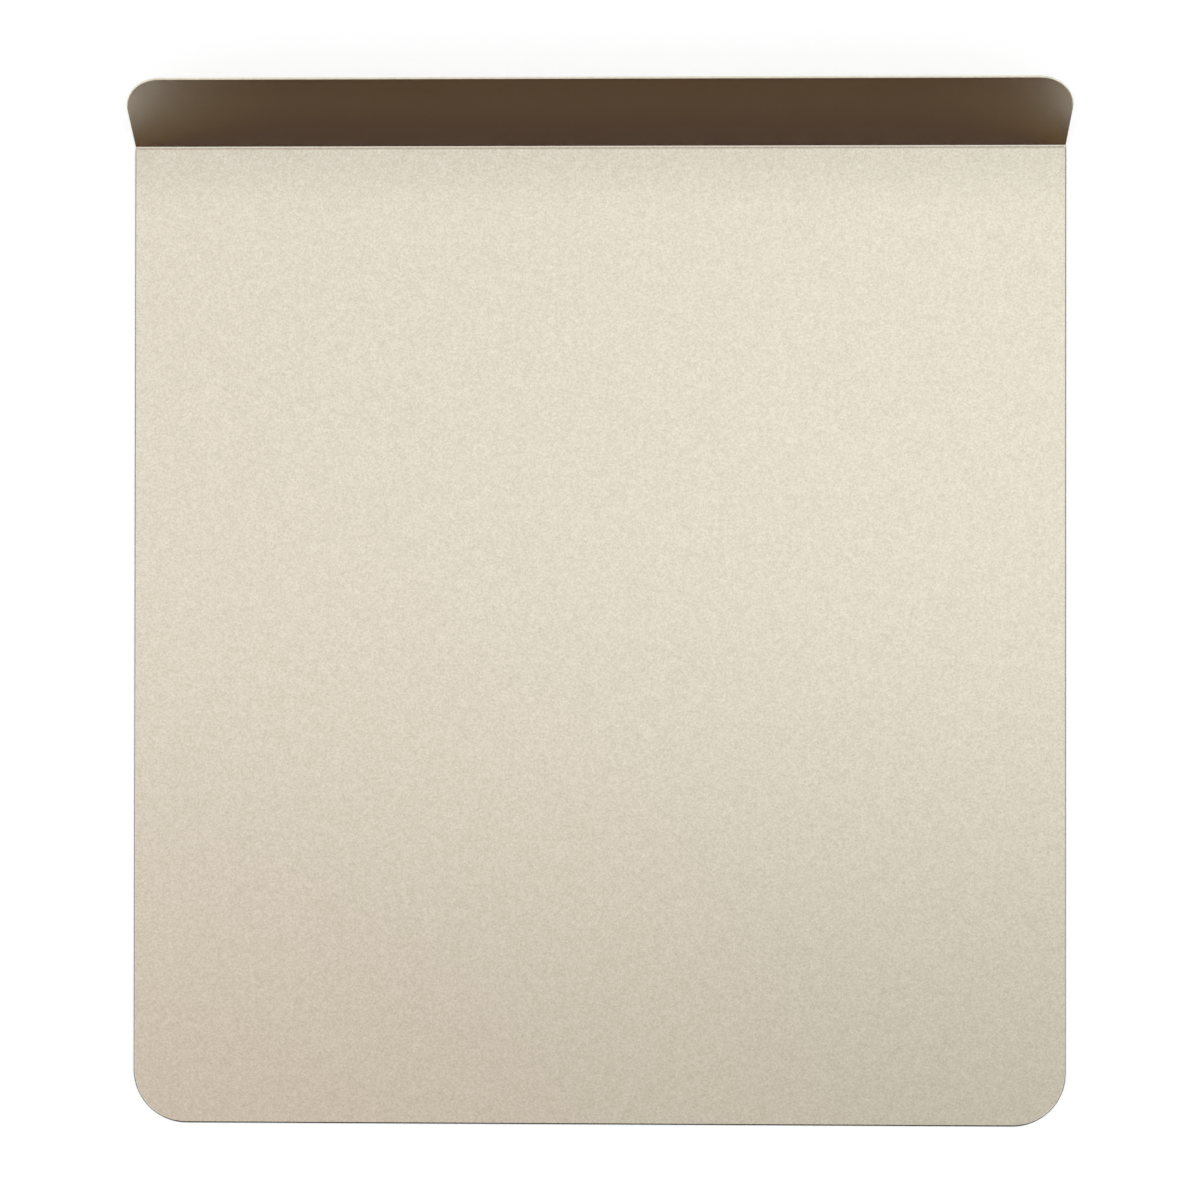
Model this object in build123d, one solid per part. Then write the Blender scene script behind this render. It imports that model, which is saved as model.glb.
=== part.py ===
from build123d import *

import os
from math import radians

# A rimless cookie sheet: one blank of sheet metal whose back edge is folded up as a grip,
# with a baked-on non-stick coat on its baking face and another on its underside.
# Sizes are in millimetres and angles in degrees.
# X runs across the sheet, Y from the open front edge back to the grip, and Z up.
# The origin is the middle of the sheet's footprint, on the surface that it rests on.

# The blank, as it is cut and before it is folded
blank_width = 355.6
blank_length = 406.4
steel_thickness = 1.0
front_corner_radius = 20.0
grip_corner_radius = 14.6

# The cut edge is rolled over from both faces, and this narrow land is left between the rounds
edge_land = 0.2

# The fold that lifts the grip. Its inner radius is on the baking face.
fold_angle = 52.0
fold_inner_radius = 2.0
grip_length = 32.0

# How deep below the inner face the folded metal keeps its length
neutral_share = 0.42

# Each sprayed and baked coat. The two meet half way up the steel's cut edge.
coat_thickness = 0.04

# What the sizes above give
fold_outer_radius = fold_inner_radius + steel_thickness
fold_allowance = radians(fold_angle) * (fold_inner_radius + neutral_share * steel_thickness)
flat_length = blank_length - fold_allowance - grip_length
steel_edge_round = (steel_thickness - edge_land) / 2
coat_edge_round = steel_edge_round + coat_thickness
meeting_level = steel_thickness / 2

# The ways that the grip and the middle of the fold face. The broad faces of one side, which are
# its flat, its fold and its grip, all lean less than half a right angle from the latter.
grip_normal = Vector(0, 0, 1).rotate(Axis.X, fold_angle)
fold_normal = Vector(0, 0, 1) + grip_normal
broad_face_lean = 45.0


def folded_profile(low, high, growth):
    """The folded sheet seen from its side, between two levels above the steel's underside."""
    with BuildSketch(Plane.YZ) as profile:
        with BuildLine():
            flat = Line((-growth, low), (flat_length, low))
            fold = JernArc(flat @ 1, flat % 1, fold_outer_radius - low, fold_angle)
            Line(fold @ 1, fold @ 1 + (fold % 1) * (grip_length + growth))
            offset(amount=high - low, side=Side.LEFT)
        make_face()
    return profile.sketch


def folded_plate(low, high, growth):
    """The folded blank between two levels, with its whole outline grown outwards."""
    plate = extrude(folded_profile(low, high, growth), blank_width / 2 + growth, both=True)
    plate = fillet(plate.edges().filter_by(Axis.Z), front_corner_radius + growth)
    grip_axis = Axis((0, 0, 0), grip_normal)
    return fillet(plate.edges().filter_by(grip_axis), grip_corner_radius + growth)


def rolled_edge(plate, facing, radius):
    """Round the plate's outline on the side that faces one way, right round and over the fold."""
    broad_faces = plate.faces().filter_by(
        lambda face: face.normal_at().get_angle(facing) < broad_face_lean
    )
    broad_edges = broad_faces.edges()
    outline = broad_edges.filter_by(lambda edge: broad_edges.count(edge) == 1)
    return fillet(outline, radius)


def formed_sheet():
    """The folded steel, rounded along its cut edge on both faces."""
    plate = folded_plate(0, steel_thickness, 0)
    plate = rolled_edge(plate, fold_normal, steel_edge_round)
    return rolled_edge(plate, -fold_normal, steel_edge_round)


def baking_face_coat(steel):
    """The coat on the baking face, which wraps the upper part of the cut edge."""
    skin = folded_plate(meeting_level, steel_thickness + coat_thickness, coat_thickness)
    return rolled_edge(skin, fold_normal, coat_edge_round) - steel


def underside_coat(steel):
    """The coat on the underside, which wraps the rest of the cut edge."""
    skin = folded_plate(-coat_thickness, meeting_level, coat_thickness)
    return rolled_edge(skin, -fold_normal, coat_edge_round) - steel


steel = formed_sheet()
parts = {
    "formed_sheet": steel,
    "baking_face_coat": baking_face_coat(steel),
    "underside_coat": underside_coat(steel),
}

# Bring the middle of the footprint to the origin and the underside to the floor
footprint = Compound(list(parts.values())).bounding_box()
to_origin = Location((0, -footprint.center().Y, -footprint.min.Z))

os.makedirs("parts", exist_ok=True)
for name, part in parts.items():
    export_step(part.moved(to_origin), f"parts/{name}.step")
    print(name, "volume", round(part.volume), "mm3")
print("flat length", round(flat_length, 2), "overall", footprint.size)
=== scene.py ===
# %% [markdown]
# # A folded cookie sheet
#
# This lesson dresses a rimless cookie sheet. The real one is a single blank of thin steel with its
# back edge folded up as a grip, and it is coated all over in a satin champagne non-stick.
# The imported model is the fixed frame: it says where each piece is and how large it is.

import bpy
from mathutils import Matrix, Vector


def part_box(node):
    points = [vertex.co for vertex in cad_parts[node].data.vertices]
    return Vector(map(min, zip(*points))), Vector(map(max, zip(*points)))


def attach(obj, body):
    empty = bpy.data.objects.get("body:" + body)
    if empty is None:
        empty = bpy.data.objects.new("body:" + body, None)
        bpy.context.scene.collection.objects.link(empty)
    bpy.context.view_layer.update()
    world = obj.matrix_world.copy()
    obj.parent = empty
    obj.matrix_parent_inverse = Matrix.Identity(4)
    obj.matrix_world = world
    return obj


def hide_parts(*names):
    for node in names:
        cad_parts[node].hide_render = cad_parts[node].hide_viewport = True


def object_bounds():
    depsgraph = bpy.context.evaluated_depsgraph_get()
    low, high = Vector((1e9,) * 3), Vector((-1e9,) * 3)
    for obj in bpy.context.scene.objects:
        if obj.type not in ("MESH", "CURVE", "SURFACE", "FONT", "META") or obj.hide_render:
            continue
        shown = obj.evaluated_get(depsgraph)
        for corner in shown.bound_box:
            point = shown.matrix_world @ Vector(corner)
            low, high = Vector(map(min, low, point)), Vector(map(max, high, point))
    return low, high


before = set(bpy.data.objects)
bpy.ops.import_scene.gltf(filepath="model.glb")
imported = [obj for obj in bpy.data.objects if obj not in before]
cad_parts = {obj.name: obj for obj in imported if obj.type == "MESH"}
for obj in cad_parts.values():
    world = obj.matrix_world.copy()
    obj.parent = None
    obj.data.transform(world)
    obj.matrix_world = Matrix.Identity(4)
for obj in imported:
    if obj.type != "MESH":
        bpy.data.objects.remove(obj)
cad_low, cad_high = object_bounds()
print("pieces in the frame:", sorted(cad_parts))

# %% [markdown]
# ## Units
#
# Blender counts in metres here, and a drawing of sheet metal in millimetres. One value turns the one
# into the other, so that every size of the sheet reads as it would on the drawing. The sizes of the
# room round it stay in metres.

# %% Units
import math

import bmesh
import bpy

mm = 0.001
shown_digits = 2


def in_mm(*lengths):
    """Lengths as the rounded numbers that a drawing would show. Adding 0 clears a minus zero."""
    return [round(length / mm, shown_digits) + 0 for length in lengths]


print("overall, mm:", in_mm(*(cad_high - cad_low)))

# %% [markdown]
# ## The sizes of the folded sheet
#
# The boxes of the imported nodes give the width, the front edge, the levels of the steel and how thick
# the coats are. A box cannot give the inside of a fold or the radius of a corner, so those few sizes
# are written here as the press tool would have them.

# %% Sizes of the blank and its fold
steel_low, steel_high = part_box("formed_sheet")

steel_thickness = 1.0 * mm
front_corner_radius = 20.0 * mm
grip_corner_radius = 14.6 * mm
edge_land = 0.2 * mm
blank_length = 406.4 * mm
grip_length = 32.0 * mm
fold_inner_radius = 2.0 * mm
fold_degrees = 52.0
neutral_share = 0.42

blank_half_width = (steel_high.x - steel_low.x) / 2
coat_thickness = steel_low.z - cad_low.z
steel_edge_round = (steel_thickness - edge_land) / 2
coat_edge_round = steel_edge_round + coat_thickness
fold_angle = math.radians(fold_degrees)
fold_outer_radius = fold_inner_radius + steel_thickness
neutral_radius = fold_inner_radius + neutral_share * steel_thickness
fold_allowance = fold_angle * neutral_radius
flat_length = blank_length - grip_length - fold_allowance
print("coat and flat, mm:", in_mm(coat_thickness, flat_length))

# %% [markdown]
# ## Folding a flat sheet
#
# A press brake keeps every line across the sheet straight and only turns it about the fold. So the
# whole shape follows from one rule: a place on the flat blank, given by its distance from the front
# edge and its level above the steel's underside, goes to one place on the folded sheet.
# Modelling the blank flat and folding each point keeps the coats exactly concentric in the bend,
# which a bevel or a lattice would not.

# %% The folding rule
def folded(x, along, level):
    """Where a point of the flat blank goes. Along is measured from the steel's front edge."""
    turn = (along - flat_length) / neutral_radius
    turn = min(max(turn, 0), fold_angle)
    before = min(along, flat_length)
    after = max(along - flat_length - fold_allowance, 0)
    radius = fold_outer_radius - level
    y = before + radius * math.sin(turn) + after * math.cos(turn)
    z = fold_outer_radius - radius * math.cos(turn) + after * math.sin(turn)
    return x, steel_low.y + y, steel_low.z + z


print("top of the grip, mm:", in_mm(*folded(0, blank_length, steel_thickness)))

# %% [markdown]
# ## Rows across the blank
#
# The blank is a rectangle with rounded corners. It is drawn as rows that run from side to side, close
# together where the outline or the fold curves and wide apart where the sheet is flat.
# Each row keeps the radius of the corner it belongs to, where that corner's centre lies, and the
# angle round it. Then one formula gives the row's ends for the outline itself and for any outline
# drawn parallel to it, which the rounded edge needs.

# %% Rows and columns
corner_steps = 16
fold_steps = 16
flat_row_spacing = 12.0 * mm
column_steps = 28
quarter_turn = math.pi / 2


def spaced(start, end, steps):
    """Evenly spaced values from start to end, both included."""
    return [start + (end - start) * step / steps for step in range(steps + 1)]


def blank_rows():
    """Every row as a corner radius, the distance to the corner's centre and the angle round it."""
    fold_end = flat_length + fold_allowance
    grip_corner_start = blank_length - grip_corner_radius
    flat_steps = round((flat_length - front_corner_radius) / flat_row_spacing)
    front = [(front_corner_radius, front_corner_radius, angle)
             for angle in spaced(-quarter_turn, 0, corner_steps)]
    flat = [(front_corner_radius, along, 0)
            for along in spaced(front_corner_radius, flat_length, flat_steps)]
    fold = [(grip_corner_radius, along, 0) for along in spaced(flat_length, fold_end, fold_steps)]
    grip = [(grip_corner_radius, grip_corner_start, angle)
            for angle in spaced(0, quarter_turn, corner_steps)]
    return front + flat[1:] + fold[1:] + grip


def row_end(row, inset):
    """Half the row's width and its distance from the front edge, for an outline drawn inset."""
    radius, centre, angle = row
    half_width = blank_half_width - radius + (radius - inset) * math.cos(angle)
    return half_width, centre + (radius - inset) * math.sin(angle)


rows = blank_rows()
column_shares = spaced(-1, 1, column_steps)
print("rows:", len(rows), "columns:", len(column_shares))

# %% [markdown]
# ## The rolled edge in section
#
# Cut through the edge, each coat is a thin hook: over the broad face, round the rolled edge, and down
# to the middle of the cut edge, where it meets the coat from the other side. The section is a short
# list of places, each an inset from the steel's outline and a level. The steel's own section is two
# rounds with a narrow land between them. Real pieces with an inside and an outside give a clean
# closed mesh, where a single plane with a bevel would be a paper model.

# %% Sections through the edge
edge_steps = 8
meeting_level = steel_thickness / 2


def quarter_round(radius, face):
    """From the broad face to the cut edge, round the steel's edge. Face is 1 on top, -1 below."""
    centre_level = meeting_level + face * (meeting_level - steel_edge_round)
    section = []
    for turn in spaced(0, quarter_turn, edge_steps):
        inset = steel_edge_round - radius * math.sin(turn)
        section.append((inset, centre_level + face * radius * math.cos(turn)))
    return section


def coat_section(face):
    """Out over the coat's face and edge to the meeting line, and back along the steel."""
    meeting = [(-coat_thickness, meeting_level), (0, meeting_level)]
    steel_side = quarter_round(steel_edge_round, face)
    return quarter_round(coat_edge_round, face) + meeting + steel_side[::-1]


steel_section = quarter_round(steel_edge_round, 1) + quarter_round(steel_edge_round, -1)[::-1]
print("points in the sections of a coat and of the steel:", len(coat_section(1)), len(steel_section))

# %% [markdown]
# ## From a section to a closed mesh
#
# The first and last points of a section carry a whole grid of faces, the piece's two broad faces.
# Every point between them carries only a ring round the outline. Joined in order they make one
# watertight skin. The walk below names the grid's outer places once round, for those rings.

# %% Walk round the outline
def outline_walk():
    """The row and column numbers once round the outline of the grid."""
    last_row, last_column = len(rows) - 1, len(column_shares) - 1
    front = [(0, column) for column in range(last_column)]
    right = [(row, last_column) for row in range(last_row)]
    back = [(last_row, column) for column in range(last_column, 0, -1)]
    left = [(row, 0) for row in range(last_row, 0, -1)]
    return front + right + back + left


def placed(row, column, inset, level):
    """The folded place of one grid point."""
    half_width, along = row_end(rows[row], inset)
    return folded(column_shares[column] * half_width, along, level)


print("points once round the outline:", len(outline_walk()))

# %% [markdown]
# ## Points and faces
#
# Each point of the section adds one layer of points to the mesh: the whole grid for a broad face, and
# the walk for a place on the edge. A layer keeps the number of each of its points by row and column.
# So a face is picked out by rows and columns, and no point number has to be worked out.

# %% Mesh of a piece
def broad_faces(grid, layer):
    """The squares of one broad face, as the numbers of their corner points."""
    squares = [[(row, column), (row, column + 1), (row + 1, column + 1), (row + 1, column)]
               for row, column in grid]
    return [[layer[spot] for spot in square] for square in squares
            if all(spot in layer for spot in square)]


def ring_faces(walk, upper, lower):
    """The band of faces between two layers, once round the outline."""
    return [[upper[spot], upper[following], lower[following], lower[spot]]
            for spot, following in zip(walk, walk[1:] + walk[:1])]


def sheet_mesh(name, section):
    """A closed mesh whose broad faces are the first and last points of the section."""
    walk = outline_walk()
    grid = [(row, column) for row in range(len(rows)) for column in range(len(column_shares))]
    points, layers = [], []
    for number, (inset, level) in enumerate(section):
        broad = number in (0, len(section) - 1)
        spots = grid if broad else walk
        layers.append({spot: len(points) + order for order, spot in enumerate(spots)})
        points += [placed(row, column, inset, level) for row, column in spots]
    faces = broad_faces(grid, layers[0]) + broad_faces(grid, layers[-1])
    for upper, lower in zip(layers, layers[1:]):
        faces += ring_faces(walk, upper, lower)
    mesh = bpy.data.meshes.new(name)
    mesh.from_pydata(points, [], faces)
    return mesh


print("squares in a broad face:", (len(rows) - 1) * (len(column_shares) - 1))

# %% [markdown]
# ## The three pieces
#
# The steel carries the sheet, and a coat lies on each side of it. Smooth shading with weighted
# normals keeps the broad faces truly flat to the light, so that only the fold and the rounded edge
# bend a reflection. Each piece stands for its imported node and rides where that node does.

# %% Pieces of the sheet
sharp_angle = math.radians(40.0)


def face_outwards(mesh):
    """Turn every face's normal outwards and shade the curves smooth."""
    shell = bmesh.new()
    shell.from_mesh(mesh)
    bmesh.ops.recalc_face_normals(shell, faces=shell.faces)
    shell.to_mesh(mesh)
    shell.free()
    mesh.shade_smooth()
    mesh.set_sharp_from_angle(angle=sharp_angle)


def sheet_piece(name, section, node):
    """One piece of the sheet, made from a section and declared to the frame."""
    mesh = sheet_mesh(name, section)
    face_outwards(mesh)
    piece = bpy.data.objects.new(name, mesh)
    bpy.context.scene.collection.objects.link(piece)
    weighted = piece.modifiers.new("flat faces lead the normals", "WEIGHTED_NORMAL")
    weighted.keep_sharp = True
    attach(piece, "root")
    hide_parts(node)
    print(name, "faces:", len(mesh.polygons))
    return piece


steel_core = sheet_piece("steel_core", steel_section, "formed_sheet")
top_coat = sheet_piece("top_coat", coat_section(1), "baking_face_coat")
under_coat = sheet_piece("under_coat", coat_section(-1), "underside_coat")

# %% [markdown]
# ## Helpers for materials
#
# Colours are written as the sRGB hex values that a picture would show, and one function turns them
# into the linear light that the renderer works in. One more function adds a node, sets it and links
# it, so that a material reads as a list of its layers. Sockets go by name, or by number where a node
# has more than one socket of the same name.

# %% Colour and node helpers
full_channel = 255
srgb_knee, srgb_slope, srgb_offset, srgb_power = 0.04045, 12.92, 0.055, 2.4
first, second = 0, 1
first_colour, second_colour, mixed_colour = 6, 7, 2
first_number, second_number = 2, 3


def linear(hex_colour):
    """An sRGB hex colour as linear RGB with full alpha."""
    channels = [value / full_channel for value in bytes.fromhex(hex_colour.lstrip("#"))]
    return [channel / srgb_slope if channel <= srgb_knee
            else ((channel + srgb_offset) / (1 + srgb_offset)) ** srgb_power
            for channel in channels] + [1]


def add_node(tree, kind, settings=None, links=None):
    """Add a node. Settings name its fields or its sockets, and links name its input sockets."""
    node = tree.nodes.new(kind)
    for name, value in (settings or {}).items():
        if isinstance(name, int) or name in node.inputs:
            node.inputs[name].default_value = value
        else:
            setattr(node, name, value)
    for name, source in (links or {}).items():
        tree.links.new(source, node.inputs[name])
    return node


def empty_material(name):
    """A material with an output node and nothing else."""
    material = bpy.data.materials.new(name)
    material.use_nodes = True
    material.node_tree.nodes.clear()
    return material, material.node_tree, material.node_tree.nodes.new("ShaderNodeOutputMaterial")


white = linear("#FFFFFF")
black = linear("#000000")
print("white and black, linear:", white, black)

# %% [markdown]
# ## The flakes in the non-stick coat
#
# The real coat is a fluoropolymer film filled with mica and aluminium flake, sprayed on and baked.
# Each flake has its own tilt and tint, which shows as a fine grain. Real flakes are too small to show
# from here, so the grain is drawn at 0.7 mm, and a fainter mottle of a few millimetres stands for the
# way they crowd together. A noise texture in the object's own space keeps both true to size in any
# view, where an image would need unwrapping.

# %% Flake tint
champagne_pale = "#FAF3E3"
champagne_deep = "#D2CBB7"
grain_size = 0.7 * mm
mottle_size = 2.6 * mm
grain_detail = 1.0
mottle_share = 0.2
tint_low_share, tint_high_share = 0.16, 0.84


def flake_tint(tree, place):
    """The grain by itself, and the tint that the grain and the mottle give."""
    grain, mottle = [
        add_node(tree, "ShaderNodeTexNoise", {"Scale": 1 / size, "Detail": grain_detail},
                 {"Vector": place}).outputs["Fac"]
        for size in (grain_size, mottle_size)
    ]
    crowd = add_node(tree, "ShaderNodeMix", {first: mottle_share},
                     {first_number: grain, second_number: mottle})
    spread = add_node(tree, "ShaderNodeMapRange",
                      {"From Min": tint_low_share, "From Max": tint_high_share},
                      {"Value": crowd.outputs[first]})
    tint = add_node(tree, "ShaderNodeMix",
                    {"data_type": "RGBA", first_colour: linear(champagne_deep),
                     second_colour: linear(champagne_pale)},
                    {first: spread.outputs["Result"]})
    return grain, tint.outputs[mixed_colour]


print("grain and mottle, mm:", in_mm(grain_size, mottle_size))

# %% [markdown]
# ## Painted shade in the fold
#
# The coat's colour is painted a little darker near the fold, as painted shade where the grip stands
# over the face and hides part of the light. The tint depends only on the distance from the line of the
# fold, and it fades out over about an inch of the face and of the grip.

# %% Painted shade of the fold
# Painted shade: how much darker the coat's colour is drawn at the fold, and how far out it fades.
fold_painted_shade_share = 0.1
fold_painted_shade_reach = 26.0 * mm
fold_place = folded(0, flat_length + fold_allowance / 2, steel_thickness)


def painted_fold_shade(tree, place, painted_shade_share):
    """1 far from the fold, and less on the fold itself by the share of painted shade."""
    side_view = add_node(tree, "ShaderNodeVectorMath", {"operation": "MULTIPLY", second: (0, 1, 1)},
                         {first: place})
    away = add_node(tree, "ShaderNodeVectorMath", {"operation": "DISTANCE", second: fold_place},
                    {first: side_view.outputs["Vector"]})
    shade = add_node(tree, "ShaderNodeMapRange",
                     {"interpolation_type": "SMOOTHSTEP", "From Max": fold_painted_shade_reach,
                      "To Min": 1 - painted_shade_share},
                     {"Value": away.outputs["Value"]})
    return shade.outputs["Result"]


print("line of the fold, mm:", in_mm(*fold_place))

# %% [markdown]
# ## Champagne non-stick
#
# The flake lies flat in the film, so light comes back as it would from a satin metal. A plain
# plastic-like coat over a coloured base would stay pale where the real one turns dark, as on the
# grip, which shows a dark part of the room. So the coat is a metallic surface of low roughness with
# the broken-up tint, and a bump of a few thousandths of a millimetre tilts the grain.

# %% Non-stick finish
coat_metallic = 1.0
coat_roughness = 0.15
grain_height = 0.004 * mm


def champagne_nonstick(name, painted_shade_share):
    """Sprayed and baked satin non-stick with metal flake, with painted shade in the fold by a share."""
    material, tree, output = empty_material(name)
    place = add_node(tree, "ShaderNodeTexCoord").outputs["Object"]
    grain, tint = flake_tint(tree, place)
    # The flake tint is scaled down near the fold by the painted shade.
    colour = add_node(tree, "ShaderNodeVectorMath", {"operation": "SCALE"},
                      {first: tint, "Scale": painted_fold_shade(tree, place, painted_shade_share)})
    bump = add_node(tree, "ShaderNodeBump", {"Distance": grain_height}, {"Height": grain})
    shader = add_node(tree, "ShaderNodeBsdfPrincipled",
                      {"Metallic": coat_metallic, "Roughness": coat_roughness},
                      {"Base Color": colour.outputs["Vector"], "Normal": bump.outputs["Normal"]})
    tree.links.new(shader.outputs["BSDF"], output.inputs["Surface"])
    return material


# The baking face carries the painted shade of the fold, and the underside none.
top_coat.data.materials.append(champagne_nonstick("champagne_nonstick_baking_face", fold_painted_shade_share))
under_coat.data.materials.append(champagne_nonstick("champagne_nonstick_underside", 0))
for coat in (top_coat, under_coat):
    print(coat.name, "finish:", coat.data.materials[0].name)

# %% [markdown]
# ## The steel inside
#
# The core is low-carbon steel, hot-dipped in aluminium and rolled. It is a soft grey metal with faint
# lines along the way it was rolled. The coats cover all of it, but a section or a chipped edge would
# show it, so it gets its own finish: a metal with more roughness than the coat, and a noise that is
# stretched until it reads as lines.

# %% Aluminised steel
steel_pale = "#DEDEDB"
steel_deep = "#D2D2D0"
steel_metallic = 1.0
steel_roughness = 0.38
roll_line_width = 0.6 * mm
roll_stretch_share = 0.02
roll_detail = 2.0


def aluminised_steel():
    """Hot-dipped and rolled steel: soft grey, with faint lines from front to back."""
    material, tree, output = empty_material("aluminised_steel_rolled")
    place = add_node(tree, "ShaderNodeTexCoord").outputs["Object"]
    stretched = add_node(tree, "ShaderNodeMapping", {"Scale": (1, roll_stretch_share, 1)},
                         {"Vector": place})
    lines = add_node(tree, "ShaderNodeTexNoise", {"Scale": 1 / roll_line_width, "Detail": roll_detail},
                     {"Vector": stretched.outputs["Vector"]})
    tint = add_node(tree, "ShaderNodeMix",
                    {"data_type": "RGBA", first_colour: linear(steel_deep),
                     second_colour: linear(steel_pale)},
                    {first: lines.outputs["Fac"]})
    shader = add_node(tree, "ShaderNodeBsdfPrincipled",
                      {"Metallic": steel_metallic, "Roughness": steel_roughness},
                      {"Base Color": tint.outputs[mixed_colour]})
    tree.links.new(shader.outputs["BSDF"], output.inputs["Surface"])
    return material


steel_core.data.materials.append(aluminised_steel())
print(steel_core.name, "finish:", steel_core.data.materials[0].name)

# %% [markdown]
# ## The white paper
#
# The sheet lies on white paper. Light bright enough to turn the paper white would bleach the coat, so
# the paper also glows a little, a cool white as from the brightener in real paper, but only for the
# rays that see it directly, in a reflection or through glass.
# A glow would wash out the thin dark line where the sheet meets the paper. So the glow and the
# paper's own tone are held back within three quarters of a millimetre of the sheet. Ambient occlusion
# measures how open the paper is there. Leaning its normal towards the grip, where the light comes
# from, makes the line stronger along the front edge than along the sides, as it is in a photograph.

# %% Paper material
paper_colour = "#F4F3F0"
brightener_colour = "#E7F2FF"
paper_lift = 0.32
contact_reach = 0.76 * mm
contact_lean = 3.4
contact_depth = 7.0
contact_samples = 8


def seen_rays(tree):
    """1 for a ray that sees the paper directly, mirrored or through glass, and 0 for any other."""
    rays = add_node(tree, "ShaderNodeLightPath").outputs
    seen = rays["Is Camera Ray"]
    for kind in ("Is Glossy Ray", "Is Transmission Ray"):
        either = add_node(tree, "ShaderNodeMath", {"operation": "MAXIMUM"},
                          {first: seen, second: rays[kind]})
        seen = either.outputs["Value"]
    return seen


def contact_shade(tree):
    """1 on open paper, falling to 0 where the sheet's edge stands between it and the light."""
    way = add_node(tree, "ShaderNodeCombineXYZ", {"Y": contact_lean, "Z": 1})
    openness = add_node(tree, "ShaderNodeAmbientOcclusion",
                        {"samples": contact_samples, "Distance": contact_reach},
                        {"Normal": way.outputs["Vector"]})
    deeper = add_node(tree, "ShaderNodeMath", {"operation": "POWER", second: contact_depth},
                      {first: openness.outputs["AO"]})
    return deeper.outputs["Value"]


def white_paper():
    """Matt white paper with a glow of its own, which the contact shade holds back."""
    material, tree, output = empty_material("white_paper_matt")
    shade = contact_shade(tree)
    tone = add_node(tree, "ShaderNodeMix",
                    {"data_type": "RGBA", first_colour: black, second_colour: linear(paper_colour)},
                    {first: shade})
    matt = add_node(tree, "ShaderNodeBsdfDiffuse", {}, {"Color": tone.outputs[mixed_colour]})
    lift = add_node(tree, "ShaderNodeMath", {"operation": "MULTIPLY", second: paper_lift},
                    {first: seen_rays(tree)})
    strength = add_node(tree, "ShaderNodeMath", {"operation": "MULTIPLY"},
                        {first: lift.outputs["Value"], second: shade})
    glow = add_node(tree, "ShaderNodeEmission", {"Color": linear(brightener_colour)},
                    {"Strength": strength.outputs["Value"]})
    both = add_node(tree, "ShaderNodeAddShader", {}, {first: matt.outputs["BSDF"],
                                                      second: glow.outputs["Emission"]})
    tree.links.new(both.outputs["Shader"], output.inputs["Surface"])
    return material


paper = white_paper()
print("paper:", paper.name, "contact shade reaches, mm:", in_mm(contact_reach))

# %% [markdown]
# ## The sweep
#
# The paper runs out flat and then curves up all round, so that every view has the same plain
# background. Rings of points about the middle give it: flat first, then the cove, then the wall.
# It lies a hair below the sheet, so that no two surfaces share a place.

# %% Floor and backdrop
paper_radius = 3.0
cove_radius = 1.0
wall_height = 2.2
paper_gap = 0.05 * mm
ring_steps = 7
cove_steps = 8
sweep_columns = 64


def stage_piece(name, points, faces, material):
    """A floor, backdrop or card, which is no part of the object."""
    mesh = bpy.data.meshes.new(name)
    mesh.from_pydata(points, [], faces)
    mesh.materials.append(material)
    piece = bpy.data.objects.new(name, mesh)
    bpy.context.scene.collection.objects.link(piece)
    print(name, "faces:", len(mesh.polygons))
    return piece


def sweep_profile():
    """The radius and height of each ring, from the middle out."""
    flat = [(radius, 0) for radius in spaced(paper_radius / ring_steps, paper_radius, ring_steps)]
    cove = [(paper_radius + cove_radius * math.sin(turn), cove_radius * (1 - math.cos(turn)))
            for turn in spaced(0, quarter_turn, cove_steps)]
    return flat + cove[1:] + [(paper_radius + cove_radius, wall_height)]


def white_sweep():
    """The paper as one mesh: a disc in the middle and a band of faces between each two rings."""
    profile = sweep_profile()
    points, faces = [], [tuple(range(sweep_columns))]
    for radius, height in profile:
        for turn in spaced(0, 2 * math.pi, sweep_columns)[:-1]:
            points.append((radius * math.cos(turn), radius * math.sin(turn), height - paper_gap))
    for ring in range(len(profile) - 1):
        for column in range(sweep_columns):
            here = ring * sweep_columns + column
            beside = ring * sweep_columns + (column + 1) % sweep_columns
            faces.append((here, here + sweep_columns, beside + sweep_columns, beside))
    sweep = stage_piece("white_sweep", points, faces, paper)
    sweep.data.shade_smooth()


white_sweep()

# %% [markdown]
# ## The light
#
# A satin metal has hardly any colour of its own in a picture: it shows what it mirrors. Here that is
# one broad, soft light from all round, as in a tent of white cloth. The face is brightest near the
# grip and falls off gently towards the front, a little rosier on the left. So the top of the tent,
# where the face looks, is white behind the sheet and dimmer in front of it, and the sides of the tent
# are white all round. A world whose colour runs smoothly from way to way gives this without the edges
# that lamps would leave in the coat, and no part of it is brighter than white. The ends below say
# where each change starts and stops, as the X, Y or Z of a way that is one unit long.

# %% Tent of light
front_left_cloth = "#D8CDCA"
front_right_cloth = "#CCCAC6"
back_left_cloth = "#F9F7F7"
back_right_cloth = "#FFFFFF"
left_end, right_end = -0.25, 0.2
front_end, back_end = -0.32, 0.06
side_end, top_end = 0.55, 0.9


def tent_shares(tree):
    """How far a way has come from the left, front or side end to the other, each from 0 to 1."""
    way = add_node(tree, "ShaderNodeTexCoord").outputs["Generated"]
    parts = add_node(tree, "ShaderNodeSeparateXYZ", {}, {"Vector": way}).outputs
    ends = {"X": (left_end, right_end), "Y": (front_end, back_end), "Z": (side_end, top_end)}
    shares = []
    for axis, (low, high) in ends.items():
        share = add_node(tree, "ShaderNodeMapRange",
                         {"interpolation_type": "SMOOTHSTEP", "From Min": low, "From Max": high},
                         {"Value": parts[axis]})
        shares.append(share.outputs["Result"])
    return shares


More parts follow.
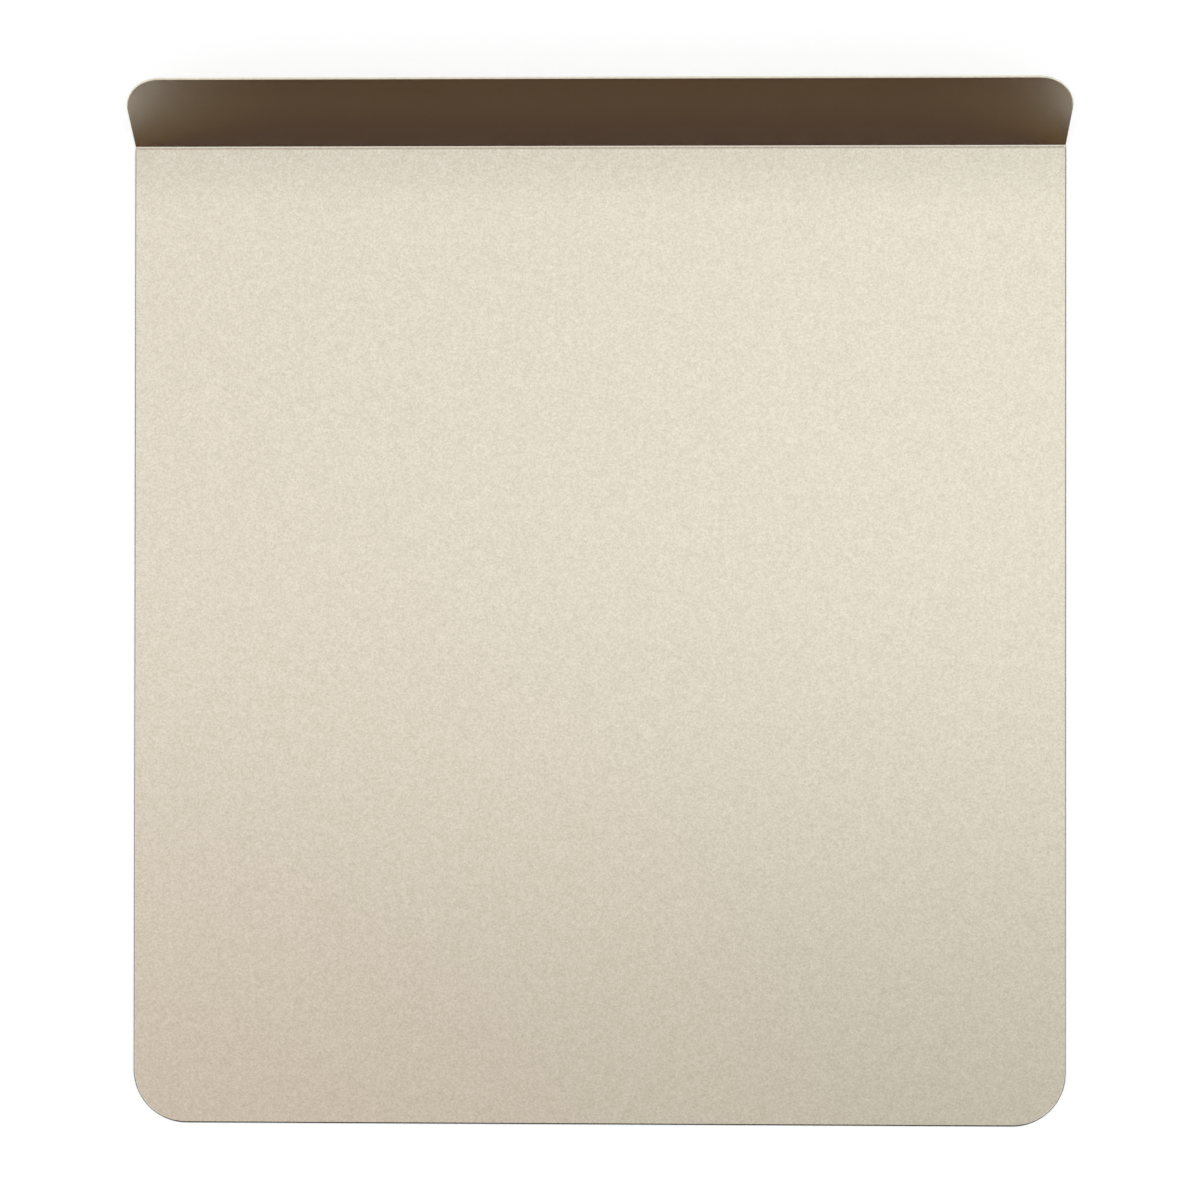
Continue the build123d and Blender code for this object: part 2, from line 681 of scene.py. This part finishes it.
def light_tent():
    """A white world whose top is dimmer towards the front."""
    tent = bpy.data.worlds.new("light_tent")
    tent.use_nodes = True
    tree = tent.node_tree
    rightwards, backwards, upwards = tent_shares(tree)
    halves = []
    for left, right in ((front_left_cloth, front_right_cloth), (back_left_cloth, back_right_cloth)):
        half = add_node(tree, "ShaderNodeMix",
                        {"data_type": "RGBA", first_colour: linear(left), second_colour: linear(right)},
                        {first: rightwards})
        halves.append(half.outputs[mixed_colour])
    top = add_node(tree, "ShaderNodeMix", {"data_type": "RGBA"},
                   {first: backwards, first_colour: halves[0], second_colour: halves[1]})
    cloth = add_node(tree, "ShaderNodeMix", {"data_type": "RGBA", first_colour: white},
                     {first: upwards, second_colour: top.outputs[mixed_colour]})
    tree.links.new(cloth.outputs[mixed_colour], tree.nodes["Background"].inputs["Color"])
    return tent


bpy.context.scene.world = light_tent()
print("world:", bpy.context.scene.world.name)

# %% [markdown]
# ## What the grip mirrors
#
# Seen from above, the tilted grip mirrors the room far out in front of the sheet, and in the picture
# that is dark and brown. So a low dark wall stands far in front, and a brown table top runs out to it
# and past both sides of the sheet. The wall is low and narrow, so that the face shows it in hardly
# any other view. The table widens away from the sheet, and the white paper beside it lights the ends
# of the grip. These are cards as a photographer would use them: they only show in reflections, and
# they neither shade nor tint the sheet.

# %% Cards for the grip
far_wall_y = -2.2
far_wall_height = 0.62
far_wall_half_width = 0.95
far_wall_colour = "#3F1404"
table_near_left, table_near_right = -0.29, 0.256
table_far_half_width = 0.62
table_colour = "#746650"
side_reach = 0.25
side_back = 0.19
side_colour = "#695232"
card_level = -paper_gap / 2


def card(name, corners, colour):
    """A flat matt painted board that only shows in reflections."""
    material, tree, output = empty_material(name + "_painted_board")
    matt = add_node(tree, "ShaderNodeBsdfDiffuse", {"Color": linear(colour)})
    tree.links.new(matt.outputs["BSDF"], output.inputs["Surface"])
    piece = stage_piece(name, corners, [tuple(range(len(corners)))], material)
    piece.visible_camera = False
    piece.visible_diffuse = False
    piece.visible_shadow = False


def lying(front, front_ends, back, back_ends):
    """The corners of a card that lies on the paper, by where its front and back sides end."""
    return [(front_ends[0], front, card_level), (front_ends[1], front, card_level),
            (back_ends[1], back, card_level), (back_ends[0], back, card_level)]


def standing(y, half_width, height):
    """The corners of a card that stands across the sheet's middle line."""
    return [(-half_width, y, card_level), (half_width, y, card_level),
            (half_width, y, height), (-half_width, y, height)]


card("far_wall", standing(far_wall_y, far_wall_half_width, far_wall_height), far_wall_colour)
card("table_front", lying(far_wall_y, (-table_far_half_width, table_far_half_width),
                          cad_low.y, (table_near_left, table_near_right)), table_colour)
for side_name, side_ends in (("left", (-side_reach, cad_low.x)), ("right", (cad_high.x, side_reach))):
    card("table_" + side_name, lying(cad_low.y, side_ends, side_back, side_ends), side_colour)

# %% [markdown]
# ## Camera
#
# The picture looks straight down from a little under a metre. Seen from so near, the raised grip
# looks wider than the flat. The outline in the photograph gave the camera's height and small tilts.

# %% Camera
camera_place = (14.5 * mm, -0.3 * mm, 842.4 * mm)
camera_tilt_degrees = (0.22, 0.95, 0.07)
camera_lens_mm = 66.05
sensor_width_mm = 36.0

camera_data = bpy.data.cameras.new("camera")
camera_data.lens = camera_lens_mm
camera_data.sensor_width = sensor_width_mm
camera = bpy.data.objects.new("camera", camera_data)
camera.location = camera_place
camera.rotation_euler = [math.radians(degrees) for degrees in camera_tilt_degrees]
bpy.context.scene.collection.objects.link(camera)
bpy.context.scene.camera = camera
print("camera height above the sheet, mm:", in_mm(camera.location.z - steel_high.z))

# %% [markdown]
# ## Finish
#
# The Standard view keeps the colours as they were written.

# %% Finish
bpy.context.scene.view_settings.view_transform = "Standard"
